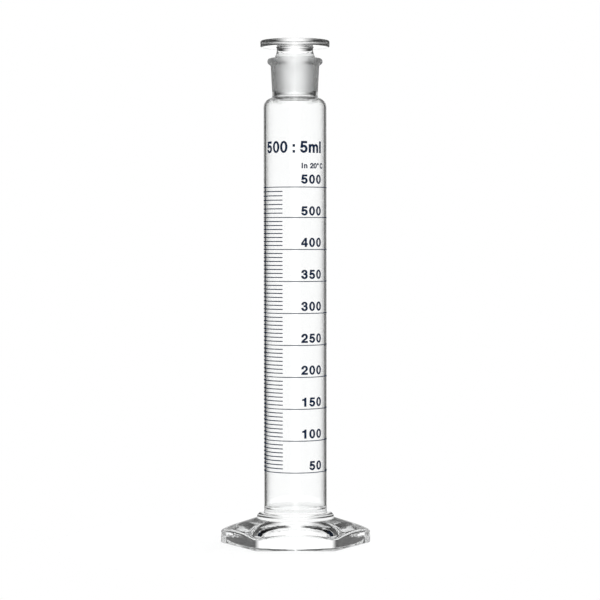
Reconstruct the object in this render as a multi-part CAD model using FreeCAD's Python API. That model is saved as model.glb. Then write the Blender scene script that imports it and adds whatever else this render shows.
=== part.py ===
import FreeCAD, Part
import math
import os

from FreeCAD import Vector

# Stoppered measuring cylinder in glass, in millimetres, +Z up.
# The origin is the centre of the foot on the table, and the scale faces -Y.

# Graduated tube
tube_outer_diameter = 52.4
tube_wall = 1.64
floor_corner_bevel = 2.0
headroom = 74.95

# Hexagonal pressed foot, with two of its flats across Y
foot_across_flats = 111.0
foot_corner_round = 10.0
foot_corner_height = 10.7
foot_edge_round = 3.0
stand_ring_width = 8.0
recess_depth = 1.6

# Welded root between the foot and the tube
collar_reach = 10.3
collar_height = 19.5
root_swell = 0.8
root_rise = 7.7
root_fade = 3.4
floor_rise = 7.85

# Shoulder, rounded outside and bevelled in the bore
shoulder_round = 8.2
shoulder_slope = 12.0
bore_shoulder_bevel = 3.4

# Ground socket, its neck and its lip
joint_top_diameter = 34.2
joint_taper = 0.1
neck_wall = 3.4
neck_length = 32.6
lip_reach = 2.45
lip_height = 6.2
lip_flare = 2.2
lip_bevel = 1.35
mouth_bevel = 0.6

# Stopper
joint_clearance = 0.05
plug_length = 31.2
plug_end_bevel = 0.8
shank_diameter = 30.1
shank_height = 9.2
flare_height = 5.3
head_diameter = 57.6
head_thickness = 5.55
head_edge_bevel = 1.1

# Numbered lines: an even step holds step_volume of the bore, and the top step is its own
step_volume = 50000.0
step_count = 8
top_step = 25.05
first_line_rise = 33.6
line_width = 0.7
ink_thickness = 0.12
scale_start_angle = -95.0
line_arc = 190.0

# Radii and heights that follow from the sizes above
tube_radius = tube_outer_diameter / 2
bore_radius = tube_radius - tube_wall
floor_height = collar_height + floor_rise
step_height = step_volume / (math.pi * bore_radius ** 2)
first_line_height = floor_height + first_line_rise
top_line_height = first_line_height + step_count * step_height + top_step
shoulder_height = top_line_height + headroom
mouth_height = shoulder_height + neck_length
collar_radius = tube_radius + collar_reach
foot_apothem = foot_across_flats / 2
foot_sharp_radius = foot_apothem / math.cos(math.pi / 6)
foot_corner_radius = foot_sharp_radius - foot_corner_round * (1 / math.cos(math.pi / 6) - 1)
foot_blank_radius = foot_sharp_radius + foot_corner_round

AXIS_POINT = Vector(0, 0, 0)
AXIS_UP = Vector(0, 0, 1)
FRONT_ANGLE = -90.0


def joint_radius(height):
    """Radius of the ground socket at a height, from its taper."""
    return joint_top_diameter / 2 - joint_taper / 2 * (mouth_height - height)


def cone_height(radius):
    """Height of the foot's sloping top at a radius."""
    fall = (collar_height - foot_corner_height) / (foot_corner_radius - collar_radius)
    return collar_height - fall * (radius - collar_radius)


def sharp(radius, height):
    """Corner of an outline that stays sharp."""
    return radius, height, 0, False


def rounded(radius, height, rounding):
    """Corner of an outline with a tangent arc."""
    return radius, height, rounding, True


def bevelled(radius, height, bevel):
    """Corner of an outline that is cut straight, by the same length off both sides."""
    return radius, height, bevel, False


def outline(corners):
    """Closed wire in the XZ plane through the given corners."""
    points = [Vector(radius, 0, height) for radius, height, size, is_arc in corners]
    starts, ends, crossings = [], [], []
    for index, (radius, height, size, is_arc) in enumerate(corners):
        corner = points[index]
        to_last = (points[index - 1] - corner).normalize()
        to_next = (points[(index + 1) % len(points)] - corner).normalize()
        half_angle = to_last.getAngle(to_next) / 2
        reach = size / math.tan(half_angle) if is_arc else size
        start = corner + to_last * reach
        end = corner + to_next * reach
        starts.append(start)
        ends.append(end)
        if is_arc:
            inward = (to_last + to_next).normalize()
            middle = corner + inward * (size / math.sin(half_angle) - size)
            crossings.append(Part.Arc(start, middle, end).toShape())
        elif size > 0:
            crossings.append(Part.makeLine(start, end))
        else:
            crossings.append(None)
    edges = []
    for index, crossing in enumerate(crossings):
        if crossing is not None:
            edges.append(crossing)
        edges.append(Part.makeLine(ends[index], starts[(index + 1) % len(starts)]))
    return Part.Wire(edges)


def turned(corners):
    """Solid of revolution about Z of an outline."""
    return Part.Face(outline(corners)).revolve(AXIS_POINT, AXIS_UP, 360)


def wall_section():
    """Corners of the glass wall's section, the foot left as a round blank.

    They run from the hollow under the foot out to its rim, up the outside,
    over the lip and down the inside to the floor of the bore.
    """
    recess_radius = foot_apothem - stand_ring_width
    root_height = collar_height + root_rise
    slope = math.tan(math.radians(shoulder_slope))
    socket_bottom_radius = joint_radius(shoulder_height)
    neck_root_radius = socket_bottom_radius + neck_wall
    lip_bottom = mouth_height - lip_height
    lip_radius = joint_radius(mouth_height) + neck_wall + lip_reach
    wall_drop = tube_wall / math.cos(math.radians(shoulder_slope))
    shoulder_corner = shoulder_height - (tube_radius - neck_root_radius) * slope
    bore_corner = shoulder_height - (bore_radius - neck_root_radius) * slope - wall_drop
    throat = shoulder_height + (neck_root_radius - socket_bottom_radius) * slope - wall_drop
    return [
        sharp(0, recess_depth),
        sharp(recess_radius - recess_depth, recess_depth),
        sharp(recess_radius, 0),
        sharp(foot_blank_radius, 0),
        sharp(foot_blank_radius, cone_height(foot_blank_radius)),
        sharp(collar_radius, collar_height),
        sharp(tube_radius + root_swell, root_height),
        sharp(tube_radius, root_height + root_fade),
        rounded(tube_radius, shoulder_corner, shoulder_round),
        sharp(neck_root_radius, shoulder_height),
        sharp(joint_radius(lip_bottom) + neck_wall, lip_bottom),
        sharp(lip_radius, lip_bottom + lip_flare),
        bevelled(lip_radius, mouth_height, lip_bevel),
        bevelled(joint_radius(mouth_height), mouth_height, mouth_bevel),
        sharp(joint_radius(throat), throat),
        bevelled(bore_radius, bore_corner, bore_shoulder_bevel),
        bevelled(bore_radius, floor_height, floor_corner_bevel),
        sharp(0, floor_height),
    ]


def hexagonal_prism(height):
    """Prism of the foot's outline, its upright corners rounded, two flats across Y."""
    corners = []
    for index in range(7):
        angle = math.radians(60 * index)
        corners.append(Vector(math.cos(angle), math.sin(angle), 0) * foot_sharp_radius)
    prism = Part.Face(Part.makePolygon(corners)).extrude(AXIS_UP * height)
    upright = [edge for edge in prism.Edges if edge.BoundBox.ZLength > height / 2]
    return prism.makeFillet(foot_corner_round, upright)


def runs_along_rim(edge):
    """True for an edge that follows the foot's hexagon round its top."""
    middle = edge.valueAt((edge.FirstParameter + edge.LastParameter) / 2)
    upright = edge.BoundBox.ZLength > foot_corner_height / 2
    at_side = math.hypot(middle.x, middle.y) > foot_apothem - foot_edge_round / 2
    return at_side and middle.z > foot_corner_height / 2 and not upright


def cylinder():
    """Foot, tube, shoulder, socket and lip, which are one piece of glass."""
    blank = turned(wall_section())
    foot_zone = collar_height
    surplus = Part.makeCylinder(2 * foot_blank_radius, foot_zone).cut(hexagonal_prism(foot_zone))
    body = blank.cut(surplus)
    return body.makeFillet(foot_edge_round, [edge for edge in body.Edges if runs_along_rim(edge)])


def stopper():
    """Solid pressed stopper: ground plug, flare, shank and flat round head."""
    plug_bottom = mouth_height - plug_length
    plug_bottom_radius = joint_radius(plug_bottom) - joint_clearance
    plug_top_radius = joint_radius(mouth_height) - joint_clearance
    shank_radius = shank_diameter / 2
    head_radius = head_diameter / 2
    head_bottom = mouth_height + shank_height
    head_top = head_bottom + head_thickness
    return turned([
        sharp(0, plug_bottom),
        bevelled(plug_bottom_radius, plug_bottom, plug_end_bevel),
        sharp(plug_top_radius, mouth_height),
        sharp(shank_radius, mouth_height + flare_height),
        sharp(shank_radius, head_bottom),
        bevelled(head_radius, head_bottom, head_edge_bevel),
        bevelled(head_radius, head_top, head_edge_bevel),
        sharp(0, head_top),
    ])


def printed_line(height):
    """One fired line of ink on the tube, its middle at a height."""
    ink = Part.makePlane(ink_thickness, line_width, Vector(tube_radius, 0, height + line_width / 2),
                         Vector(0, 1, 0), Vector(1, 0, 0))
    ink.rotate(AXIS_POINT, AXIS_UP, FRONT_ANGLE + scale_start_angle)
    return ink.revolve(AXIS_POINT, AXIS_UP, line_arc)


def numbered_lines():
    """Lines of the scale that carry a number: even steps by volume, then the top one."""
    heights = [first_line_height + index * step_height for index in range(step_count + 1)]
    heights.append(top_line_height)
    return Part.makeCompound([printed_line(height) for height in heights])


parts = {"cylinder": cylinder(), "stopper": stopper(), "numbered_lines": numbered_lines()}

os.makedirs("parts", exist_ok=True)
for name, shape in parts.items():
    shape.exportStep("parts/" + name + ".step")
    print(name, len(shape.Solids), shape.isValid(), round(shape.Volume, 1), shape.BoundBox)
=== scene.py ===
"""Stoppered measuring cylinder: glass, ground joint, fired scale and studio, around the packed model."""

import math

import bmesh
import bpy
import numpy as np
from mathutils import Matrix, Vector


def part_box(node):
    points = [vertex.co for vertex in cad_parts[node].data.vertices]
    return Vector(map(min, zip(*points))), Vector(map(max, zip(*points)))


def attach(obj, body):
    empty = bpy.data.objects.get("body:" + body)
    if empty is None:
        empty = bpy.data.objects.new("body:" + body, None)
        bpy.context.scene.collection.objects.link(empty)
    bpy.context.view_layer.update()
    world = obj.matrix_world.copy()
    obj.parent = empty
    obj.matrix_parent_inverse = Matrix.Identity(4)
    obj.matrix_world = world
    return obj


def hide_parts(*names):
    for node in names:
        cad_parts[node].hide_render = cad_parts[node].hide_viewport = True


bl_info = {
    "name": "Stoppered Measuring Cylinder",
    "version": (1, 0, 0),
    "blender": (4, 5, 0),
    "location": "3D View > Sidebar > Measuring Cylinder",
    "description": "Blown and pressed glass, ground joint and fired scale of a measuring cylinder",
    "category": "Object",
}

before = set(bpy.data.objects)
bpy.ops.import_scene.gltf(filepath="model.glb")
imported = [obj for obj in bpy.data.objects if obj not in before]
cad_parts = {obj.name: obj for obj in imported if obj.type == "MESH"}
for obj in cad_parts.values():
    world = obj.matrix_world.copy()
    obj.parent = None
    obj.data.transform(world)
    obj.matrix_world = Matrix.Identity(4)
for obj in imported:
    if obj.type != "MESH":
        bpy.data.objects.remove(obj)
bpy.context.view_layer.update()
GLASS_LOW, GLASS_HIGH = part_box("cylinder")
STOPPER_LOW, STOPPER_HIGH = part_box("stopper")
LINES_LOW, LINES_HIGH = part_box("numbered_lines")

MM = 0.001
GLASS_BODY = "glass_cylinder"
STOPPER_BODY = "glass_stopper"
LINE_WIDTH = 0.7 * MM
INK_THICKNESS = 0.12 * MM
WHITE = (1.0, 1.0, 1.0, 1.0)

# Fineness of the meshes
FULL_TURN = 2 * math.pi
SECTOR = math.pi / 3
FLAT_STEPS = 22
CORNER_STEPS = 14
UNDER_STEPS = 8
RIM_STEPS = 10
SIDE_SHARES = (0.04, 0.5, 0.96)
TOP_SHARES = (0.012, 0.15, 0.3, 0.45, 0.6, 0.75, 0.9, 1.0)
STOPPER_STEPS = 240
FLOOR_STEPS = 128
ARC_STEP = math.radians(9)
SUPPORT = 0.15 * MM
PRINT_SLICE = 0.7 * MM
SAME_POINT = 1e-7

# Small forms of the glass
RING_RUN = 3 * MM
CREASE_RUN = 2 * MM
BEAD_BATTER = 0.3 * MM
LIP_ROOT_ROUND = 2.0 * MM
LIP_FLARE_ROUND = 1.8 * MM
PLUG_TOP_ROUND = 1.5 * MM

# Where the grinding fades out, and where the foot's side is rippled more
GROUND_FADE = 0.5 * MM
FOOT_SIDE_RADII = (50 * MM, 55 * MM)
FOOT_SIDE_HEIGHTS = (9 * MM, 12 * MM)

# Print: rises of numbers over their lines, places of words, and widths and weights of letters
NUMBER_RISE = 2.25 * MM
LAST_EVEN_RISE = 1.85 * MM
TOP_RISE = 2.95 * MM
NUMBER_STRETCH = 1.05
NUMBER_WEIGHT = 1.2
CAPACITY_BASE = 325.45 * MM
CAPACITY_STRETCH = 0.94
TEMPERATURE_BASE = 312.7 * MM
TEMPERATURE_STRETCH = 1.08
TEMPERATURE_WEIGHT = 1.4

# Letters of a word and their centres, in millimetres round the tube from the front
CAPACITY = (("5", -24.5), ("0", -16.8), ("0", -9.55), (":", -1.0), ("5", 7.3), ("m", 16.4), ("l", 23.6))
TEMPERATURE = (("I", 5.95), ("n", 8.95), ("2", 14.5), ("0", 17.9), ("o", 20.9), ("C", 25.2))

# Studio
LAMP_PLACE = (0.25, 0.1, 1.5)
LAMP_AIM = (0, 0, 0.1)
LAMP_SIZE = 1.2
FLOOR_GAP = 0.2 * MM
BOUNCES = {"max_bounces": 32, "transmission_bounces": 28, "glossy_bounces": 24,
           "transparent_max_bounces": 24}


# Sizes and colours

def length(label, text, default):
    """A size in metres."""
    return bpy.props.FloatProperty(name=label, description=text, default=default, min=0.0,
                                   precision=5, unit="LENGTH")


def angle(label, text, degrees):
    """An angle, given in degrees."""
    return bpy.props.FloatProperty(name=label, description=text, default=math.radians(degrees),
                                   precision=3, unit="ROTATION")


def number(label, text, default):
    """A plain number from 0 up."""
    return bpy.props.FloatProperty(name=label, description=text, default=default, min=0.0, precision=3)


def count(label, text, default):
    """A whole number."""
    return bpy.props.IntProperty(name=label, description=text, default=default, min=1)


def colour(label, text, default):
    """A linear colour."""
    return bpy.props.FloatVectorProperty(name=label, description=text, default=default, size=3,
                                         min=0.0, max=1.0, subtype="COLOR")


class CylinderSizes(bpy.types.PropertyGroup):
    """Sizes of the glass cylinder."""
    tube_diameter: length("Tube diameter", "Outside diameter of the tube", 52.4 * MM)
    tube_wall: length("Tube wall", "Thickness of the tube's wall", 1.64 * MM)
    foot_flats: length("Foot", "Across two flats of the foot", GLASS_HIGH.y - GLASS_LOW.y)
    corner_round: length("Foot corners", "Rounding of its upright corners", 10.0 * MM)
    corner_height: length("Corner height", "Height of its top at the corners", 10.7 * MM)
    rim_round: length("Foot rim", "Rounding of its upper rim", 3.0 * MM)
    under_round: length("Foot underside", "Rounding of its lower rim", 1.2 * MM)
    ring_width: length("Standing ring", "Width of the ring it stands on", 8.0 * MM)
    hollow_depth: length("Hollow", "Depth of the hollow under the foot", 1.2 * MM)
    hollow_round: length("Hollow rounding", "Rounding of the hollow's edges", 1.0 * MM)
    top_fall: number("Foot slope", "Fall of the foot's top for each unit of radius", 0.338)
    bead_reach: length("Bead reach", "How far the root's bead stands out", 6.25 * MM)
    bead_height: length("Bead height", "Height of the bead's top at the tube", 25.6 * MM)
    bead_slope: length("Bead slope", "Fall of the bead's top out to its edge", 0.7 * MM)
    bead_round: length("Bead rounding", "Rounding of the bead's edge", 4.0 * MM)
    crease_round: length("Crease", "Hollow rounding beside the bead", 0.5 * MM)
    floor_height: length("Floor", "Height of the bore's floor", 27.35 * MM)
    floor_round: length("Floor rounding", "Rounding between the bore and its floor", 3.8 * MM)
    shoulder_height: length("Shoulder", "Height where the neck meets the shoulder", 372.03 * MM)
    shoulder_round: length("Shoulder rounding", "Outside rounding of the shoulder", 8.2 * MM)
    shoulder_slope: angle("Shoulder slope", "Fall of the shoulder's top", 12.0)
    joint_diameter: length("Joint", "Diameter of the ground socket at the mouth", 34.2 * MM)
    joint_taper: number("Taper", "Fall in diameter for each unit of height", 0.1)
    neck_wall: length("Neck wall", "Thickness of the glass round the socket", 3.4 * MM)
    neck_foot_round: length("Neck foot", "Hollow rounding between neck and shoulder", 1.2 * MM)
    throat_round: length("Throat", "Rounding where the socket opens below", 1.0 * MM)
    lip_reach: length("Lip reach", "How far the lip stands out from the neck", 2.45 * MM)
    lip_height: length("Lip height", "Height of the lip", 6.2 * MM)
    lip_flare: length("Lip flare", "Height over which the lip flares out", 2.2 * MM)
    lip_round: length("Lip rounding", "Rounding of the lip's crown", 2.3 * MM)
    mouth_round: length("Mouth rounding", "Rounding of the mouth's edge", 0.6 * MM)


class StopperSizes(bpy.types.PropertyGroup):
    """Sizes of the glass stopper."""
    clearance: length("Clearance", "Gap between the plug and its socket", 0.05 * MM)
    end_round: length("Plug end", "Rounding of the plug's lower edge", 0.8 * MM)
    shank_diameter: length("Shank", "Diameter of the shank under the head", 30.1 * MM)
    flare_height: length("Flare", "Height of the flare above the mouth", 5.3 * MM)
    flare_round: length("Flare rounding", "Hollow rounding above the flare", 12.0 * MM)
    root_round: length("Head root", "Hollow rounding under the head", 1.2 * MM)
    head_thickness: length("Head", "Thickness of the head", 5.55 * MM)
    edge_round: length("Head edge", "Rounding of the head's edges", 1.2 * MM)


class ScaleSizes(bpy.types.PropertyGroup):
    """Sizes of the fired scale."""
    steps: count("Steps", "Even steps between numbered lines", 8)
    step_lines: count("Lines in a step", "Division lines between two numbered lines", 7)
    top_lines: count("Lines in the top step", "Division lines in the top step", 6)
    top_step: length("Top step", "Height of the top step", 25.05 * MM)
    start_angle: angle("Scale's edge", "Where the lines start, from the front", -95.0)
    division_sweep: angle("Division line", "Sweep of a division line", 71.5)
    digit_height: length("Digits", "Height of the numbers", 7.15 * MM)
    digit_pitch: length("Digit pitch", "Distance from one digit to the next", 6.95 * MM)
    number_edge: angle("Numbers' edge", "Where the numbers end, from the front", 53.5)
    title_height: length("Title", "Height of the capacity's digits", 9.35 * MM)
    note_height: length("Note", "Height of the temperature's letters", 4.0 * MM)
    stroke_growth: length("Stroke growth", "How far strokes are grown outwards", 0.17 * MM)
    division_width: length("Division width", "Width of a division line", 0.82 * MM)


class Finishes(bpy.types.PropertyGroup):
    """Colours and finishes."""
    glass_tint: colour("Glass", "Colour of the clear glass", (0.992, 0.996, 0.995))
    refraction: number("Refraction", "Index of refraction of the glass", 1.473)
    ground_roughness: number("Ground roughness", "Roughness of the ground joint", 0.5)
    ground_low: length("Ground low", "Height where the grinding starts", 377.0 * MM)
    ink: colour("Ink", "Colour of the fired ink", (0.0045, 0.0185, 0.056))
    ink_thin: colour("Thin ink", "Colour of the ink where it is thin", (0.009, 0.028, 0.075))
    floor: colour("Floor", "Colour of the floor", (0.8, 0.8, 0.8))


class StudioSettings(bpy.types.PropertyGroup):
    """Camera, light and floor."""
    distance: length("Distance", "From the camera to the tube's axis", 1.8)
    eye_height: length("Eye height", "Height of the camera above the floor", 0.2576)
    aim_side: length("Aim aside", "How far beside the axis the camera aims", 3.97 * MM)
    aim_drop: length("Aim drop", "How far below eye height the camera aims", 54.34 * MM)
    lens: number("Lens", "Focal length in millimetres on a 36 mm sensor", 129.2)
    roll: angle("Roll", "Turn of the camera about its view", -0.068)
    floor_radius: length("Floor radius", "Radius of the round floor", 0.2)
    ambient: number("Ambient", "Level of the light from all around", 0.78)
    screen: number("Screen", "Brightness of the white screens", 1.1)
    gap: number("Gap", "Brightness of the dark gaps between the screens", 0.05)
    lamp_power: number("Lamp", "Power of the large soft lamp in watts", 7.0)


GROUPS = {
    "mc_cylinder": CylinderSizes,
    "mc_stopper": StopperSizes,
    "mc_scale": ScaleSizes,
    "mc_finish": Finishes,
    "mc_studio": StudioSettings,
}


# Node trees as expressions

class Wire:
    """A socket of a node tree. Arithmetic on it adds Math nodes."""

    def __init__(self, tree, socket):
        self.tree = tree
        self.socket = socket

    def maths(self, operation, *values):
        """A Math node on these values or wires."""
        return self.tree.add("ShaderNodeMath", {"operation": operation}, dict(enumerate(values)))

    def __add__(self, other):
        return self.maths("ADD", self, other)

    def __radd__(self, other):
        return self.maths("ADD", other, self)

    def __sub__(self, other):
        return self.maths("SUBTRACT", self, other)

    def __rsub__(self, other):
        return self.maths("SUBTRACT", other, self)

    def __mul__(self, other):
        return self.maths("MULTIPLY", self, other)

    def __rmul__(self, other):
        return self.maths("MULTIPLY", other, self)

    def __truediv__(self, other):
        return self.maths("DIVIDE", self, other)

    def above(self, limit):
        """1 where this is greater than the limit, else 0."""
        return self.maths("GREATER_THAN", self, limit)

    def highest(self, other):
        """The greater of the two."""
        return self.maths("MAXIMUM", self, other)

    def root(self):
        """Square root."""
        return self.maths("SQRT", self)

    def size(self):
        """Absolute value."""
        return self.maths("ABSOLUTE", self)


class Tree:
    """A node tree whose nodes are added by type, settings and socket values."""

    def __init__(self, node_tree):
        self.tree = node_tree
        self.tree.nodes.clear()

    def node(self, kind, settings=None, sockets=None):
        """Adds a node, sets it up and fills or links its sockets."""
        made = self.tree.nodes.new(kind)
        for name, value in (settings or {}).items():
            setattr(made, name, value)
        for name, value in (sockets or {}).items():
            socket = made.inputs[name]
            if isinstance(value, Wire):
                self.tree.links.new(value.socket, socket)
            else:
                socket.default_value = value
        return made

    def add(self, kind, settings=None, sockets=None, out=0):
        """Adds a node and gives one of its outputs as a wire."""
        return Wire(self, self.node(kind, settings, sockets).outputs[out])

    def spread(self, value, low, high, to_low=0.0, to_high=1.0):
        """Smooth step of a value from one range to another."""
        return self.add("ShaderNodeMapRange", {"interpolation_type": "SMOOTHSTEP"},
                        {"Value": value, "From Min": low, "From Max": high,
                         "To Min": to_low, "To Max": to_high})

    def ramp(self, value, low, high):
        """0 to 1 in a straight line over a range of a value, and held past its ends."""
        return self.add("ShaderNodeMapRange", None, {"Value": value, "From Min": low, "From Max": high})

    def mix_colour(self, factor, first, second):
        """Mixes two colours."""
        return self.add("ShaderNodeMix", {"data_type": "RGBA"}, {0: factor, 6: first, 7: second}, out=2)

    def parts(self, vector):
        """The X, Y and Z of a vector."""
        split = self.node("ShaderNodeSeparateXYZ", None, {0: vector})
        return [Wire(self, split.outputs[i]) for i in range(3)]

    def noise(self, vector, scale, detail=2.0):
        """Noise of a given scale, about 0.5."""
        return self.add("ShaderNodeTexNoise", None,
                        {"Vector": vector, "Scale": scale, "Detail": detail}, out="Fac")

    def stretched(self, vector, scale):
        """A vector scaled along each axis."""
        return self.add("ShaderNodeVectorMath", {"operation": "MULTIPLY"}, {0: vector, 1: scale})

    def bump(self, strength, distance, height, normal=None):
        """A normal tilted by the slope of a height."""
        sockets = {"Strength": strength, "Distance": distance, "Height": height}
        if normal is not None:
            sockets["Normal"] = normal
        return self.add("ShaderNodeBump", None, sockets)

    def join(self, *parts):
        """Several geometries as one."""
        both = self.node("GeometryNodeJoinGeometry")
        for part in parts:
            self.tree.links.new(part.socket, both.inputs[0])
        return Wire(self, both.outputs[0])

    def light_path(self, *names):
        """Facts about the ray that is shaded, as wires."""
        path = self.node("ShaderNodeLightPath")
        return [Wire(self, path.outputs[name]) for name in names]


def opaque(rgb):
    """A colour with its alpha."""
    return (*rgb, 1.0)


def new_material(name):
    """An empty material and its tree."""
    material = bpy.data.materials.new(name)
    material.use_nodes = True
    return material, Tree(material.node_tree)


def end_material(tree, shader):
    """Links a shader to the material's output."""
    tree.node("ShaderNodeOutputMaterial", None, {"Surface": shader})


# Finishes

def glass_finish(name, finish, ground_low, ground_high, ground_radius, pressed_top):
    """Clear glass, ground between two heights inside a radius, and rippled where it was pressed."""
    material, tree = new_material(name)
    place = tree.add("ShaderNodeTexCoord", out="Object")
    x, y, z = tree.parts(place)
    radius = (x * x + y * y).root()
    band = tree.spread(z, ground_low, ground_low + GROUND_FADE)
    if ground_high:
        band = band * tree.spread(z, ground_high, ground_high + GROUND_FADE, 1.0, 0.0)
    ground = band * (1.0 - radius.above(ground_radius))
    grit = tree.noise(place, 2600.0, 3.0)
    rings = tree.noise(tree.stretched(place, (60.0, 60.0, 2400.0)), 1.0, 1.0)
    rough = ground * (finish.ground_roughness - 0.08 + 0.1 * grit + 0.06 * rings)
    pressed = tree.spread(z, pressed_top - 4 * MM, pressed_top + 2 * MM, 1.0, 0.0)
    under_rim = tree.spread(z, *FOOT_SIDE_HEIGHTS, 1.0, 0.0)
    side = tree.spread(radius, *FOOT_SIDE_RADII) * under_rim * pressed
    chill = tree.noise(place, 180.0) * (pressed + side * 3.0)
    wave = tree.noise(tree.stretched(place, (38.0, 38.0, 9.0)), 1.0, 0.0)
    relief = chill * 0.35 + wave * 0.12
    swell = tree.bump(0.35, 0.3 * MM, relief)
    frost = tree.bump(0.25, 0.02 * MM, grit * ground, swell)
    body = tree.add("ShaderNodeBsdfPrincipled", {"distribution": "MULTI_GGX"},
                    {"Base Color": opaque(finish.glass_tint), "Roughness": rough,
                     "IOR": finish.refraction, "Transmission Weight": 1.0, "Normal": frost})
    shadow, diffuse = tree.light_path("Is Shadow Ray", "Is Diffuse Ray")
    clear = tree.add("ShaderNodeBsdfTransparent", None, {"Color": (0.96, 0.965, 0.965, 1.0)})
    end_material(tree, tree.add("ShaderNodeMixShader", None,
                                {0: shadow.highest(diffuse), 1: body, 2: clear}))
    return material


def ink_finish(finish):
    """Fired ceramic ink: dark blue, with a faint screen-printed grain and thin patches."""
    material, tree = new_material("fired_ink")
    place = tree.add("ShaderNodeTexCoord", out="Object")
    cloud = tree.spread(tree.noise(place, 420.0, 3.0), 0.38, 0.68)
    grain = tree.noise(place, 5200.0)
    shade = tree.mix_colour(cloud, opaque(finish.ink), opaque(finish.ink_thin))
    body = tree.add("ShaderNodeBsdfPrincipled", None,
                    {"Base Color": shade, "Roughness": 0.34 + 0.16 * grain,
                     "Specular IOR Level": 0.12, "Normal": tree.bump(0.3, 0.01 * MM, grain)})
    end_material(tree, body)
    return material


def floor_finish(finish):
    """Matt white board, which the camera and the glass see at full white where no shadow falls."""
    material, tree = new_material("white_board")
    board = tree.add("ShaderNodeBsdfDiffuse", None, {"Color": opaque(finish.floor)})
    camera, glossy, passed = tree.light_path("Is Camera Ray", "Is Glossy Ray", "Is Transmission Ray")
    seen = camera.highest(glossy).highest(passed)
    lift = tree.add("ShaderNodeEmission", None,
                    {"Color": WHITE, "Strength": seen * (1.0 - finish.floor[0])})
    end_material(tree, tree.add("ShaderNodeAddShader", None, {0: board, 1: lift}))
    return material


# Sections and rings

def section(corners):
    """Points of an open section through corners, given as (radius, height, rounding)."""
    points = []
    flat = [np.array(corner[:2], float) for corner in corners]
    for index, (radius, height, rounding) in enumerate(corners):
        corner = flat[index]
        if index in (0, len(corners) - 1) or not rounding:
            points.append(tuple(corner))
            continue
        to_last = flat[index - 1] - corner
        to_next = flat[index + 1] - corner
        to_last /= np.linalg.norm(to_last)
        to_next /= np.linalg.norm(to_next)
        half = math.acos(max(-1.0, min(1.0, float(to_last @ to_next)))) / 2
        reach = rounding / math.tan(half)
        start, end = corner + to_last * reach, corner + to_next * reach
        inwards = (to_last + to_next) / np.linalg.norm(to_last + to_next)
        middle = corner + inwards * (rounding / math.sin(half))
        turn = math.pi - 2 * half
        steps = max(3, math.ceil(turn / ARC_STEP))
        first = math.atan2(*(start - middle)[::-1])
        sweep = (math.atan2(*(end - middle)[::-1]) - first + math.pi) % FULL_TURN - math.pi
        for step in range(steps + 1):
            bearing = first + sweep * step / steps
            aside, up = rounding * math.cos(bearing), rounding * math.sin(bearing)
            points.append((middle[0] + aside, middle[1] + up))
    return supported(points)


def supported(points):
    """Adds points just inside the ends of each long run, which keep it straight when shaded."""
    full = [points[0]]
    for (r0, z0), (r1, z1) in zip(points, points[1:]):
        run = math.hypot(r1 - r0, z1 - z0)
        if run > 6 * SUPPORT:
            share = SUPPORT / run
            for part in (share, 1 - share):
                full.append((r0 + (r1 - r0) * part, z0 + (z1 - z0) * part))
        full.append((r1, z1))
    return full


def hexagon_outline(sizes):
    """Points and outward normals round the foot's hexagon with its corners rounded, corners on X."""
    apothem = sizes.foot_flats / 2
    rounding = sizes.corner_round
    half_flat = (apothem - rounding) * math.tan(SECTOR / 2)
    centre = (apothem - rounding) / math.cos(SECTOR / 2)
    points, normals = [], []
    for side in range(6):
        bearing = SECTOR * side
        for step in range(CORNER_STEPS):
            lean = bearing - SECTOR / 2 + SECTOR * step / CORNER_STEPS
            normal = np.array((math.cos(lean), math.sin(lean)))
            points.append(centre * np.array((math.cos(bearing), math.sin(bearing))) + rounding * normal)
            normals.append(normal)
        lean = bearing + SECTOR / 2
        normal = np.array((math.cos(lean), math.sin(lean)))
        along = np.array((-normal[1], normal[0]))
        for step in range(FLAT_STEPS):
            place = -half_flat + 2 * half_flat * step / FLAT_STEPS
            points.append(apothem * normal + place * along)
            normals.append(normal)
    return np.array(points), np.array(normals)


def ring_mesh(name, rings):
    """A closed mesh over rings of points that all have the same count, with a pole at each end."""
    per_ring = len(rings[1])
    vertices, starts = [], []
    for ring in rings:
        starts.append(len(vertices))
        vertices.extend(map(tuple, ring))
    faces = []
    for low, high in zip(range(len(rings) - 1), range(1, len(rings))):
        for i in range(per_ring):
            j = (i + 1) % per_ring
            if len(rings[low]) == 1:
                faces.append((starts[low], starts[high] + j, starts[high] + i))
            elif len(rings[high]) == 1:
                faces.append((starts[low] + i, starts[low] + j, starts[high]))
            else:
                faces.append((starts[low] + i, starts[low] + j, starts[high] + j, starts[high] + i))
    mesh = bpy.data.meshes.new(name)
    mesh.from_pydata(vertices, [], faces)
    mesh.shade_smooth()
    mesh.update()
    return mesh


def circle_ring(radius, height, bearings):
    """A ring about the axis, or a pole where it has no radius."""
    if radius < SAME_POINT:
        return np.array([(0.0, 0.0, height)])
    x, y = radius * np.cos(bearings), radius * np.sin(bearings)
    return np.stack([x, y, np.full(len(bearings), height)], 1)


def new_object(name, data):
    """A new object in the scene."""
    made = bpy.data.objects.new(name, data)
    bpy.context.scene.collection.objects.link(made)
    return made


def plain_mesh(holder):
    """The mesh that an object comes to. The object itself is removed."""
    bpy.context.view_layer.update()
    graph = bpy.context.evaluated_depsgraph_get()
    mesh = bpy.data.meshes.new_from_object(holder.evaluated_get(graph))
    bpy.data.objects.remove(holder)
    return mesh


def piece(name, mesh, material, body):
    """A finished piece that rides on a body."""
    made = new_object(name, mesh)
    mesh.materials.clear()
    mesh.materials.append(material)
    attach(made, body)
    return made


# The glass cylinder

def joint_radius(sizes, height):
    """Radius of the ground socket at a height."""
    return sizes.joint_diameter / 2 - sizes.joint_taper / 2 * (GLASS_HIGH.z - height)


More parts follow.
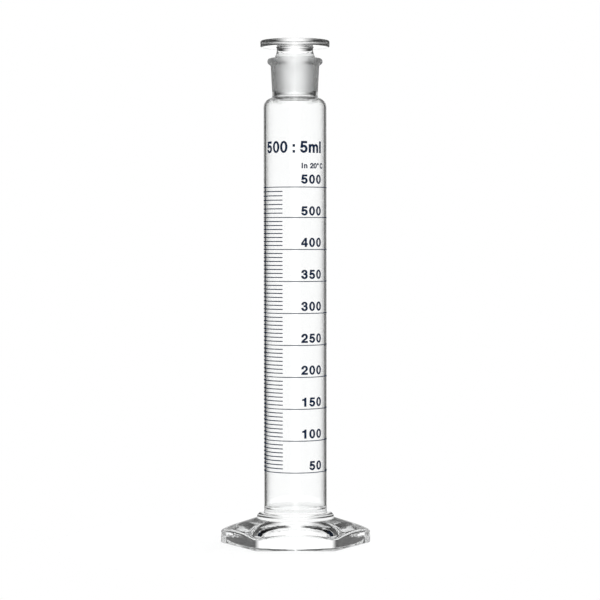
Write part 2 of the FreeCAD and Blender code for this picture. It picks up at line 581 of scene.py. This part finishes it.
def top_height(sizes, radius):
    """Height of the foot's sloping top at a radius."""
    apothem = sizes.foot_flats / 2
    corner_radius = (apothem - sizes.corner_round) / math.cos(SECTOR / 2) + sizes.corner_round
    return sizes.corner_height + sizes.top_fall * (corner_radius - radius)


def rim_rings(sizes, points, normals):
    """Rings round the foot's rim, over its lower rounding, its side and its upper rounding."""
    rounding, under = sizes.rim_round, sizes.under_round
    radii = np.linalg.norm(points, axis=1)
    outward = np.einsum("ij,ij->i", points, normals) / radii
    slope = sizes.top_fall * outward
    edge_height = top_height(sizes, radii)
    rings = []
    for step in range(UNDER_STEPS + 1):
        turn = math.pi / 2 * step / UNDER_STEPS
        inset = under * (1 - math.sin(turn))
        height = under * (1 - math.cos(turn))
        rings.append(np.column_stack([points - normals * inset, np.full(len(points), height)]))
    lean = np.arctan(slope)
    half = (math.pi / 2 + lean) / 2
    reach = rounding / np.tan(half)
    low = edge_height - reach
    for share in SIDE_SHARES:
        rings.append(np.column_stack([points, under + (low - under) * share]))
    for step in range(RIM_STEPS + 1):
        turn = (math.pi / 2 - lean) * step / RIM_STEPS
        inset = rounding * (1 - np.cos(turn))
        height = low + rounding * np.sin(turn)
        rings.append(np.column_stack([points - normals * inset[:, None], height]))
    return rings


def top_rings(sizes, rim, inner_radius, bearings):
    """Rings over the foot's sloping top, from inside its rim to the root's bead."""
    edge = rim[:, :2]
    inner = circle_ring(inner_radius, 0.0, bearings)[:, :2]
    rings = []
    for share in TOP_SHARES:
        flat = edge + (inner - edge) * share
        radii = np.linalg.norm(flat, axis=1)
        rings.append(np.column_stack([flat, top_height(sizes, radii)]))
    return rings


def wall_corners(sizes):
    """Section of the wall, from the root's bead up the outside, over the lip and down to the floor."""
    tube = sizes.tube_diameter / 2
    bore = tube - sizes.tube_wall
    bead = tube + sizes.bead_reach
    slope = math.tan(sizes.shoulder_slope)
    mouth = GLASS_HIGH.z
    shoulder = sizes.shoulder_height
    socket = joint_radius(sizes, shoulder)
    neck = socket + sizes.neck_wall
    lip_bottom = mouth - sizes.lip_height
    lip = joint_radius(sizes, mouth) + sizes.neck_wall + sizes.lip_reach
    drop = sizes.tube_wall / math.cos(sizes.shoulder_slope)
    throat = shoulder + (neck - socket) * slope - drop
    return [
        (bead + CREASE_RUN, top_height(sizes, bead + CREASE_RUN), 0),
        (bead, top_height(sizes, bead), sizes.crease_round),
        (bead - BEAD_BATTER, sizes.bead_height - sizes.bead_slope, sizes.bead_round),
        (tube, sizes.bead_height, sizes.crease_round),
        (tube, shoulder - (tube - neck) * slope, sizes.shoulder_round),
        (neck, shoulder, sizes.neck_foot_round),
        (joint_radius(sizes, lip_bottom) + sizes.neck_wall, lip_bottom, LIP_ROOT_ROUND),
        (lip, lip_bottom + sizes.lip_flare, LIP_FLARE_ROUND),
        (lip, mouth, sizes.lip_round),
        (joint_radius(sizes, mouth), mouth, sizes.mouth_round),
        (joint_radius(sizes, throat), throat, sizes.throat_round),
        (bore, shoulder - (bore - neck) * slope - drop, sizes.shoulder_round - sizes.tube_wall),
        (bore, GLASS_LOW.z + sizes.floor_height, sizes.floor_round),
        (0.0, GLASS_LOW.z + sizes.floor_height, 0),
    ]


def cylinder_mesh(sizes):
    """Foot, tube, shoulder, socket and lip as one closed glass mesh."""
    points, normals = hexagon_outline(sizes)
    bearings = np.arctan2(points[:, 1], points[:, 0])
    hollow = sizes.foot_flats / 2 - sizes.ring_width
    depth = sizes.hollow_depth
    under = section([
        (0.0, depth, 0),
        (hollow - depth, depth, sizes.hollow_round),
        (hollow, 0.0, sizes.hollow_round),
        (hollow + RING_RUN, 0.0, 0),
    ])
    wall = section(wall_corners(sizes))
    rings = [circle_ring(radius, height, bearings) for radius, height in under]
    rim = rim_rings(sizes, points, normals)
    rings += rim
    rings += top_rings(sizes, rim[-1], wall[0][0], bearings)
    rings += [circle_ring(radius, height, bearings) for radius, height in wall[1:]]
    return ring_mesh("cylinder_glass", rings)


def stopper_mesh(sizes, joint):
    """Ground plug, flare, shank and flat head as one solid of glass."""
    mouth = GLASS_HIGH.z
    low, high = STOPPER_LOW.z, STOPPER_HIGH.z
    head = STOPPER_HIGH.x
    shank = sizes.shank_diameter / 2
    under = high - sizes.head_thickness
    corners = [
        (0.0, low, 0),
        (joint_radius(joint, low) - sizes.clearance, low, sizes.end_round),
        (joint_radius(joint, mouth) - sizes.clearance, mouth, PLUG_TOP_ROUND),
        (shank, mouth + sizes.flare_height, sizes.flare_round),
        (shank, under, sizes.root_round),
        (head, under, sizes.edge_round),
        (head, high, sizes.edge_round),
        (0.0, high, 0),
    ]
    bearings = np.linspace(0.0, FULL_TURN, STOPPER_STEPS, endpoint=False)
    rings = [circle_ring(radius, height, bearings) for radius, height in section(corners)]
    return ring_mesh("stopper_glass", rings)


# Letters of the scale

def arc(cx, cy, rx, ry, first, last, steps=14):
    """Points of an elliptical arc between two angles in degrees."""
    turns = [math.radians(first + (last - first) * i / steps) for i in range(steps + 1)]
    return [(cx + rx * math.cos(turn), cy + ry * math.sin(turn)) for turn in turns]


def oval(cx, cy, rx, ry, steps=32):
    """A closed ellipse."""
    return arc(cx, cy, rx, ry, 0, 360, steps)[:-1]


def bar(left, low, right, high):
    """An upright rectangle."""
    return [(left, low), (right, low), (right, high), (left, high)]


def bold_letters():
    """Outlines of the bold letters, a unit high, as (width, loops)."""
    x, stem = 0.73, 0.20
    return {
        "0": (0.74, [oval(0.37, 0.5, 0.355, 0.515), oval(0.37, 0.5, 0.165, 0.37)]),
        "1": (0.74, [[(0.34, 0.0), (0.545, 0.0), (0.545, 1.0), (0.385, 1.0), (0.355, 0.92),
                      (0.29, 0.865), (0.21, 0.835), (0.11, 0.825), (0.11, 0.685), (0.34, 0.685)]]),
        "2": (0.74, [[(0.03, 0.64)] + arc(0.375, 0.68, 0.345, 0.335, 180, -32)
                     + [(0.555, 0.40), (0.43, 0.30), (0.345, 0.235), (0.30, 0.175), (0.72, 0.175),
                        (0.72, 0.0), (0.02, 0.0), (0.035, 0.115), (0.10, 0.22), (0.22, 0.335),
                        (0.36, 0.44), (0.47, 0.53)]
                     + arc(0.375, 0.68, 0.145, 0.17, -28, 180) + [(0.23, 0.64)]]),
        "3": (0.74, [[(0.045, 0.695)] + arc(0.365, 0.735, 0.32, 0.28, 180, -46)
                     + arc(0.37, 0.3, 0.35, 0.315, 49, -180) + [(0.02, 0.315), (0.22, 0.315)]
                     + arc(0.37, 0.3, 0.15, 0.155, 180, 450)
                     + [(0.28, 0.455), (0.28, 0.605), (0.365, 0.605)]
                     + arc(0.365, 0.735, 0.125, 0.13, -90, 180) + [(0.24, 0.695)]]),
        "4": (0.74, [[(0.425, 0.0), (0.62, 0.0), (0.62, 0.215), (0.73, 0.215), (0.73, 0.375),
                      (0.62, 0.375), (0.62, 1.0), (0.435, 1.0), (0.02, 0.395), (0.02, 0.215),
                      (0.425, 0.215)],
                     [(0.425, 0.375), (0.18, 0.375), (0.425, 0.745)]]),
        "5": (0.74, [[(0.13, 1.0), (0.055, 0.435), (0.235, 0.41)]
                     + arc(0.365, 0.325, 0.155, 0.175, 135, -155)
                     + [(0.215, 0.27), (0.015, 0.275)] + arc(0.37, 0.33, 0.355, 0.345, -170, 109)
                     + [(0.285, 0.835), (0.675, 0.835), (0.675, 1.0)]]),
        ":": (0.32, [bar(0.06, 0.0, 0.26, 0.2), bar(0.06, 0.52, 0.26, 0.72)]),
        "m": (1.06, [[(0.0, 0.0), (stem, 0.0), (stem, 0.42)] + arc(0.315, 0.42, 0.115, 0.16, 180, 0, 8)
                     + [(0.43, 0.0), (0.43 + stem, 0.0), (0.43 + stem, 0.42)]
                     + arc(0.745, 0.42, 0.115, 0.16, 180, 0, 8)
                     + [(0.86, 0.0), (0.86 + stem, 0.0), (0.86 + stem, 0.45)]
                     + arc(0.80, 0.45, 0.26, 0.30, 0, 128, 8) + arc(0.38, 0.45, 0.25, 0.30, 52, 128, 6)
                     + [(0.19, 0.65), (0.19, x), (0.0, x)]]),
        "l": (0.2, [bar(0.0, 0.0, stem, 1.0)]),
    }


def fine_letters():
    """Outlines of the note's fine letters, a unit high, as (width, loops)."""
    return {
        "I": (0.13, [bar(0.0, 0.0, 0.13, 1.0)]),
        "n": (0.56, [[(0.0, 0.0), (0.12, 0.0), (0.12, 0.44)] + arc(0.28, 0.44, 0.16, 0.2, 180, 0, 8)
                     + [(0.44, 0.0), (0.56, 0.0), (0.56, 0.45)]
                     + arc(0.325, 0.45, 0.235, 0.29, 0, 140, 8)
                     + [(0.115, 0.64), (0.115, 0.73), (0.0, 0.73)]]),
        "2": (0.74, [[(0.05, 0.68)] + arc(0.37, 0.7, 0.32, 0.31, 180, -35)
                     + [(0.47, 0.36), (0.30, 0.23), (0.215, 0.12), (0.70, 0.12), (0.70, 0.0),
                        (0.04, 0.0), (0.06, 0.13), (0.15, 0.25), (0.33, 0.39), (0.49, 0.53)]
                     + arc(0.37, 0.7, 0.195, 0.195, -35, 180) + [(0.175, 0.68)]]),
        "0": (0.74, [oval(0.37, 0.5, 0.335, 0.51), oval(0.37, 0.5, 0.21, 0.4)]),
        "o": (0.34, [oval(0.17, 0.84, 0.165, 0.165, 20), oval(0.17, 0.84, 0.085, 0.085, 20)]),
        "C": (0.86, [arc(0.45, 0.5, 0.42, 0.52, 40, 320, 30)
                     + arc(0.45, 0.5, 0.295, 0.405, 318, 42, 30)]),
    }


def grown(loop, by, hole):
    """A loop with its outline moved outwards, or inwards for a hole."""
    points = np.array(loop, float)
    points = points[np.linalg.norm(points - np.roll(points, 1, 0), axis=1) > 1e-6]
    last, following = np.roll(points, 1, 0), np.roll(points, -1, 0)
    area = float(np.sum(points[:, 0] * following[:, 1] - following[:, 0] * points[:, 1]))
    before, after = points - last, following - points
    before /= np.linalg.norm(before, axis=1)[:, None]
    after /= np.linalg.norm(after, axis=1)[:, None]
    both = before + after
    aside = np.column_stack([both[:, 1], -both[:, 0]])
    aside /= np.maximum(1.0 + np.sum(before * after, axis=1), 0.4)[:, None]
    outwards = math.copysign(by, area) * (-1.0 if hole else 1.0)
    return points + aside * outwards


def within(point, loop):
    """True for a point inside a loop."""
    inside = False
    for (x0, y0), (x1, y1) in zip(loop, loop[1:] + loop[:1]):
        if (y0 > point[1]) != (y1 > point[1]):
            if point[0] < x0 + (x1 - x0) * (point[1] - y0) / (y1 - y0):
                inside = not inside
    return inside


def flat_letters(name, placed, growth):
    """One flat mesh facing -Y, of letters given as (loops, left, baseline, height, stretch)."""
    sheet = bpy.data.curves.new(name, "CURVE")
    sheet.dimensions = "2D"
    sheet.fill_mode = "BOTH"
    for loops, left, base, height, stretch in placed:
        for loop in loops:
            hole = any(within(loop[0], other) for other in loops if other is not loop)
            loop = grown(loop, growth / height, hole)
            spline = sheet.splines.new("POLY")
            spline.points.add(len(loop) - 1)
            for point, (x, y) in zip(spline.points, loop):
                point.co = (left + x * height * stretch, base + y * height, 0.0, 1.0)
            spline.use_cyclic_u = True
    mesh = plain_mesh(new_object(name, sheet))
    bpy.data.curves.remove(sheet)
    work = bmesh.new()
    work.from_mesh(mesh)
    bmesh.ops.remove_doubles(work, verts=work.verts, dist=SAME_POINT)
    low = min(v.co.x for v in work.verts)
    high = max(v.co.x for v in work.verts)
    for index in range(1, math.ceil((high - low) / PRINT_SLICE)):
        bmesh.ops.bisect_plane(work, geom=work.verts[:] + work.edges[:] + work.faces[:],
                               plane_co=(low + index * PRINT_SLICE, 0, 0), plane_no=(1, 0, 0),
                               dist=SAME_POINT)
    for vertex in work.verts:
        vertex.co = (vertex.co.x, 0.0, vertex.co.y)
    bmesh.ops.recalc_face_normals(work, faces=work.faces)
    turned = [face for face in work.faces if face.normal.y > 0]
    bmesh.ops.reverse_faces(work, faces=turned)
    work.to_mesh(mesh)
    work.free()
    return mesh


# Geometry node trees

def geometry_tree(name, inputs):
    """An empty Geometry Nodes tree with inputs named by kind, as (tree, group, wires by name)."""
    group = bpy.data.node_groups.new(name, "GeometryNodeTree")
    tree = Tree(group)
    for kind, labels in inputs.items():
        for label in labels:
            group.interface.new_socket(label, in_out="INPUT", socket_type="NodeSocket" + kind)
    group.interface.new_socket("Geometry", in_out="OUTPUT", socket_type="NodeSocketGeometry")
    entry = tree.node("NodeGroupInput")
    return tree, group, {o.name: Wire(tree, o) for o in entry.outputs if o.name}


def end_geometry(tree, geometry, ink):
    """Ends a tree in Realize Instances and Set Material."""
    solid = tree.add("GeometryNodeRealizeInstances", None, {0: geometry})
    inked = tree.add("GeometryNodeSetMaterial", None, {"Geometry": solid, "Material": ink})
    tree.node("NodeGroupOutput", None, {0: inked})


def division_tree():
    """Tree of the short division lines: an arc of ink, repeated up each step, and the steps too."""
    tree, group, given = geometry_tree("division_lines", {
        "Float": ("Tube Radius", "Start Angle", "Sweep", "Line Width", "Ink Thickness",
                  "First Line", "Step", "Top Step"),
        "Int": ("Steps", "Lines in a Step", "Lines in the Top Step"),
        "Material": ("Ink",)})

    def upright(height):
        return tree.add("ShaderNodeCombineXYZ", None, {"Z": height})

    middle = given["Tube Radius"] + given["Ink Thickness"] * 0.5
    path = tree.add("GeometryNodeCurveArc", {"mode": "RADIUS"},
                    {"Resolution": 32, "Radius": middle, "Start Angle": given["Start Angle"],
                     "Sweep Angle": given["Sweep"]})
    path = tree.add("GeometryNodeSetCurveNormal", {"mode": "Z_UP"}, {0: path})
    profile = tree.add("GeometryNodeCurvePrimitiveQuadrilateral", None,
                       {"Width": given["Ink Thickness"], "Height": given["Line Width"]})
    line = tree.add("GeometryNodeCurveToMesh", None,
                    {"Curve": path, "Profile Curve": profile, "Fill Caps": True})

    def ladder(lines, first, gap, rung):
        rungs = tree.add("GeometryNodeMeshLine", None,
                         {"Count": lines, "Start Location": upright(first), "Offset": upright(gap)})
        return tree.add("GeometryNodeInstanceOnPoints", None, {"Points": rungs, "Instance": rung})

    gap = given["Step"] / (given["Lines in a Step"] + 1)
    one_step = ladder(given["Lines in a Step"], gap, gap, line)
    even = ladder(given["Steps"], given["First Line"], given["Step"], one_step)
    top_gap = given["Top Step"] / (given["Lines in the Top Step"] + 1)
    top_start = given["First Line"] + given["Step"] * given["Steps"] + top_gap
    top = ladder(given["Lines in the Top Step"], top_start, top_gap, line)
    end_geometry(tree, tree.join(even, top), given["Ink"])
    return group


def wrap_tree():
    """Tree that thickens a flat print and wraps it round the tube."""
    tree, group, given = geometry_tree("wrapped_print", {
        "Geometry": ("Geometry",), "Float": ("Tube Radius", "Ink Thickness"), "Material": ("Ink",)})
    raised = tree.add("GeometryNodeExtrudeMesh", {"mode": "FACES"},
                      {"Mesh": given["Geometry"], "Offset Scale": given["Ink Thickness"],
                       "Individual": False})
    back = tree.add("GeometryNodeFlipFaces", None, {0: given["Geometry"]})
    closed = tree.add("GeometryNodeMergeByDistance", None,
                      {"Geometry": tree.join(raised, back), "Distance": 1e-6})
    x, y, z = tree.parts(tree.add("GeometryNodeInputPosition"))
    radius = given["Tube Radius"] - y
    bearing = x / given["Tube Radius"]
    sine = bearing.maths("SINE", bearing)
    cosine = bearing.maths("COSINE", bearing)
    wrapped = tree.add("ShaderNodeCombineXYZ", None, {0: radius * sine, 1: 0.0 - radius * cosine, 2: z})
    print_round = tree.add("GeometryNodeSetPosition", None, {"Geometry": closed, "Position": wrapped})
    end_geometry(tree, print_round, given["Ink"])
    return group


def through_tree(name, mesh, group, values):
    """The plain mesh that a Geometry Nodes tree makes of a mesh."""
    holder = new_object(name, mesh)
    modifier = holder.modifiers.new(name, "NODES")
    modifier.node_group = group
    entries = group.interface.items_tree
    named = {item.name: item.identifier for item in entries if item.in_out == "INPUT"}
    for label, value in values.items():
        modifier[named[label]] = value
    made = plain_mesh(holder)
    made.name = name
    return made


def step_height(scene):
    """Height of an even step, from the packed numbered lines."""
    scale = scene.mc_scale
    return (LINES_HIGH.z - LINES_LOW.z - LINE_WIDTH - scale.top_step) / scale.steps


def word(letters, places, base, height, stretch):
    """Letters of a word, each about its own centre."""
    placed = []
    for letter, centre in places:
        width, loops = letters[letter]
        left = centre * MM - width * height * stretch / 2
        placed.append((loops, left, base, height, stretch))
    return placed


def shared_ink(scene):
    """The ink's finish, made once."""
    return bpy.data.materials.get("fired_ink") or ink_finish(scene.mc_finish)


# Operators

class MC_OT_cylinder(bpy.types.Operator):
    """Build the glass cylinder with its hexagonal foot and ground socket"""
    bl_idname = "measuring_cylinder.cylinder"
    bl_label = "Glass Cylinder"

    def execute(self, context):
        sizes, finish = context.scene.mc_cylinder, context.scene.mc_finish
        ground_edge = sizes.joint_diameter / 2 + sizes.neck_wall / 4
        glass = glass_finish("tube_glass", finish, finish.ground_low, 0.0, ground_edge,
                             sizes.bead_height)
        made = piece("cylinder_glass", cylinder_mesh(sizes), glass, GLASS_BODY)
        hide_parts("cylinder")
        return {"FINISHED"}


class MC_OT_stopper(bpy.types.Operator):
    """Build the glass stopper with its ground plug"""
    bl_idname = "measuring_cylinder.stopper"
    bl_label = "Glass Stopper"

    def execute(self, context):
        scene = context.scene
        finish = scene.mc_finish
        ground_high = GLASS_HIGH.z + 0.4 * MM
        ground_edge = 50 * MM
        glass = glass_finish("stopper_glass", finish, finish.ground_low, ground_high, ground_edge, 0.0)
        made = piece("stopper_glass", stopper_mesh(scene.mc_stopper, scene.mc_cylinder), glass,
                     STOPPER_BODY)
        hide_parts("stopper")
        return {"FINISHED"}


class MC_OT_lines(bpy.types.Operator):
    """Ink the numbered lines and print the division lines between them"""
    bl_idname = "measuring_cylinder.lines"
    bl_label = "Scale Lines"

    def execute(self, context):
        scene = context.scene
        scale = scene.mc_scale
        ink = shared_ink(scene)
        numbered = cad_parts["numbered_lines"].data.materials
        numbered.clear()
        numbered.append(ink)
        values = {
            "Tube Radius": scene.mc_cylinder.tube_diameter / 2,
            "Start Angle": scale.start_angle - math.pi / 2,
            "Sweep": scale.division_sweep,
            "Line Width": scale.division_width,
            "Ink Thickness": INK_THICKNESS,
            "First Line": LINES_LOW.z + LINE_WIDTH / 2,
            "Step": step_height(scene),
            "Steps": scale.steps,
            "Lines in a Step": scale.step_lines,
            "Top Step": scale.top_step,
            "Lines in the Top Step": scale.top_lines,
            "Ink": ink,
        }
        mesh = through_tree("division_lines", bpy.data.meshes.new("empty"), division_tree(), values)
        piece("division_lines", mesh, ink, GLASS_BODY)
        return {"FINISHED"}


class MC_OT_letters(bpy.types.Operator):
    """Print the numbers, the capacity and the temperature"""
    bl_idname = "measuring_cylinder.letters"
    bl_label = "Numbers and Words"

    def execute(self, context):
        scene = context.scene
        scale = scene.mc_scale
        tube = scene.mc_cylinder.tube_diameter / 2
        ink = shared_ink(scene)
        capacity = word(bold_letters(), CAPACITY, CAPACITY_BASE, scale.title_height, CAPACITY_STRETCH)
        temperature = word(fine_letters(), TEMPERATURE, TEMPERATURE_BASE, scale.note_height,
                           TEMPERATURE_STRETCH)
        prints = {
            "numbers": (self.numbers(scene, tube), NUMBER_WEIGHT),
            "capacity": (capacity, 1.0),
            "temperature": (temperature, TEMPERATURE_WEIGHT),
        }
        values = {"Tube Radius": tube, "Ink Thickness": INK_THICKNESS, "Ink": ink}
        for name, (placed, weight) in prints.items():
            flat = flat_letters(name, placed, scale.stroke_growth * weight)
            mesh = through_tree(name, flat, wrap_tree(), values)
            piece(name, mesh, ink, GLASS_BODY)
        return {"FINISHED"}

    def numbers(self, scene, tube):
        """Letters of the numbers, each row ending at the same edge."""
        scale = scene.mc_scale
        letters = bold_letters()
        first = LINES_LOW.z + LINE_WIDTH / 2
        step = step_height(scene)
        rows = [(str(50 * (i + 1)), first + i * step, NUMBER_RISE) for i in range(scale.steps)]
        rows += [("500", first + scale.steps * step, LAST_EVEN_RISE),
                 ("500", LINES_HIGH.z - LINE_WIDTH / 2, TOP_RISE)]
        placed = []
        for text, line, rise in rows:
            right = scale.number_edge * tube
            for place, letter in enumerate(reversed(text)):
                width, loops = letters[letter]
                left = right - place * scale.digit_pitch - width * scale.digit_height * NUMBER_STRETCH
                placed.append((loops, left, line + rise, scale.digit_height, NUMBER_STRETCH))
        return placed


class MC_OT_studio(bpy.types.Operator):
    """Set up the floor, the light and the camera"""
    bl_idname = "measuring_cylinder.studio"
    bl_label = "Studio"

    def execute(self, context):
        scene = context.scene
        settings = scene.mc_studio
        self.floor(scene, settings)
        self.backdrop(scene, settings)
        self.lamp(scene, settings)
        self.camera(scene, settings)
        scene.view_settings.view_transform = "Standard"
        for name, limit in BOUNCES.items():
            setattr(scene.cycles, name, limit)
        return {"FINISHED"}

    def floor(self, scene, settings):
        """A round matt board."""
        bearings = np.linspace(0.0, FULL_TURN, FLOOR_STEPS, endpoint=False)
        ring = circle_ring(settings.floor_radius, -FLOOR_GAP, bearings)
        mesh = bpy.data.meshes.new("floor")
        mesh.from_pydata(ring.tolist(), [], [tuple(range(len(ring)))])
        mesh.materials.append(floor_finish(scene.mc_finish))
        board = new_object("floor", mesh)

    def backdrop(self, scene, settings):
        """White all round for the camera; the glass sees white screens with dark gaps between them.

        A ray that only passed through glass sees wide screens ahead, behind, beside and below. One that
        was mirrored inside the glass sees smaller ones, and one mirrored off its outside smaller still.
        """
        world = bpy.data.worlds.new("studio")
        scene.world = world
        world.use_nodes = True
        tree = Tree(world.node_tree)
        x, y, z = tree.parts(tree.add("ShaderNodeTexCoord", out="Generated"))
        level = (x * x + y * y + 1e-6).root()

        def facing(axis, dark, bright):
            """1 near an axis, falling to 0 further round, with both angles in degrees."""
            limits = (math.cos(math.radians(degrees)) for degrees in (dark, bright))
            return tree.ramp(axis.size() / level, *limits)

        ahead = facing(y, 36, 6)
        aside = facing(x, 22, 4) * tree.spread(z.size(), 0.15, 0.3, 1.0, 0.0)
        near = facing(y, 25, 6)
        narrow = tree.ramp(x.size() / level, math.sin(math.radians(12)), math.sin(math.radians(2)))
        low = tree.spread(z, -0.2, -0.16, 1.0, 0.0)
        camera, diffuse, mirrored, passed = tree.light_path(
            "Is Camera Ray", "Is Diffuse Ray", "Glossy Depth", "Transmission Depth")
        bounced, inside = mirrored.above(0.5), passed.above(0.5)
        straight = (ahead * ahead).highest(aside * aside).highest(low)
        mirror = near * near * inside + narrow * narrow * (1.0 - inside)
        glass_view = settings.gap + settings.screen * (bounced * mirror + (1.0 - bounced) * straight)
        lit = diffuse * settings.ambient + (1.0 - diffuse) * glass_view
        shown = camera + (1.0 - camera) * lit
        sky = tree.add("ShaderNodeBackground", None, {"Color": WHITE, "Strength": shown})
        tree.node("ShaderNodeOutputWorld", None, {"Surface": sky})

    def lamp(self, scene, settings):
        """One large soft lamp, above and a little to the right."""
        light = bpy.data.lights.new("soft_lamp", "AREA")
        light.shape = "DISK"
        light.size = LAMP_SIZE
        light.energy = settings.lamp_power
        lamp = new_object("soft_lamp", light)
        lamp.location = LAMP_PLACE
        lamp.rotation_euler = (Vector(LAMP_AIM) - lamp.location).to_track_quat("-Z", "Y").to_euler()
        lamp.visible_glossy = False
        lamp.visible_transmission = False

    def camera(self, scene, settings):
        """The camera at the photograph's distance and height."""
        lens = bpy.data.cameras.new("camera")
        lens.lens = settings.lens
        camera = new_object("camera", lens)
        camera.location = (0.0, -settings.distance, settings.eye_height)
        aim = Vector((settings.aim_side, settings.distance, -settings.aim_drop))
        camera.rotation_euler = aim.to_track_quat("-Z", "Y").to_euler()
        camera.rotation_euler.rotate_axis("Z", settings.roll)
        scene.camera = camera


class MC_PT_panel(bpy.types.Panel):
    """Sizes and builders of the measuring cylinder"""
    bl_label = "Measuring Cylinder"
    bl_space_type = "VIEW_3D"
    bl_region_type = "UI"
    bl_category = "Measuring Cylinder"

    def draw(self, context):
        layout = self.layout
        for step in STEPS:
            layout.operator(step.bl_idname)
        for name, group in GROUPS.items():
            box = layout.box()
            box.label(text=group.__doc__)
            for field in group.__annotations__:
                box.prop(getattr(context.scene, name), field)


STEPS = (MC_OT_cylinder, MC_OT_stopper, MC_OT_lines, MC_OT_letters, MC_OT_studio)
CLASSES = (*GROUPS.values(), *STEPS, MC_PT_panel)


def register():
    """Register the classes and attach their settings to the scene."""
    for item in CLASSES:
        bpy.utils.register_class(item)
    for name, group in GROUPS.items():
        setattr(bpy.types.Scene, name, bpy.props.PointerProperty(type=group))


def unregister():
    """Undo register."""
    for name in GROUPS:
        delattr(bpy.types.Scene, name)
    for item in reversed(CLASSES):
        bpy.utils.unregister_class(item)


def main():
    """Build every piece and the studio."""
    register()
    for step in STEPS:
        group, action = step.bl_idname.split(".")
        getattr(getattr(bpy.ops, group), action)()


if __name__ == "__main__":
    main()
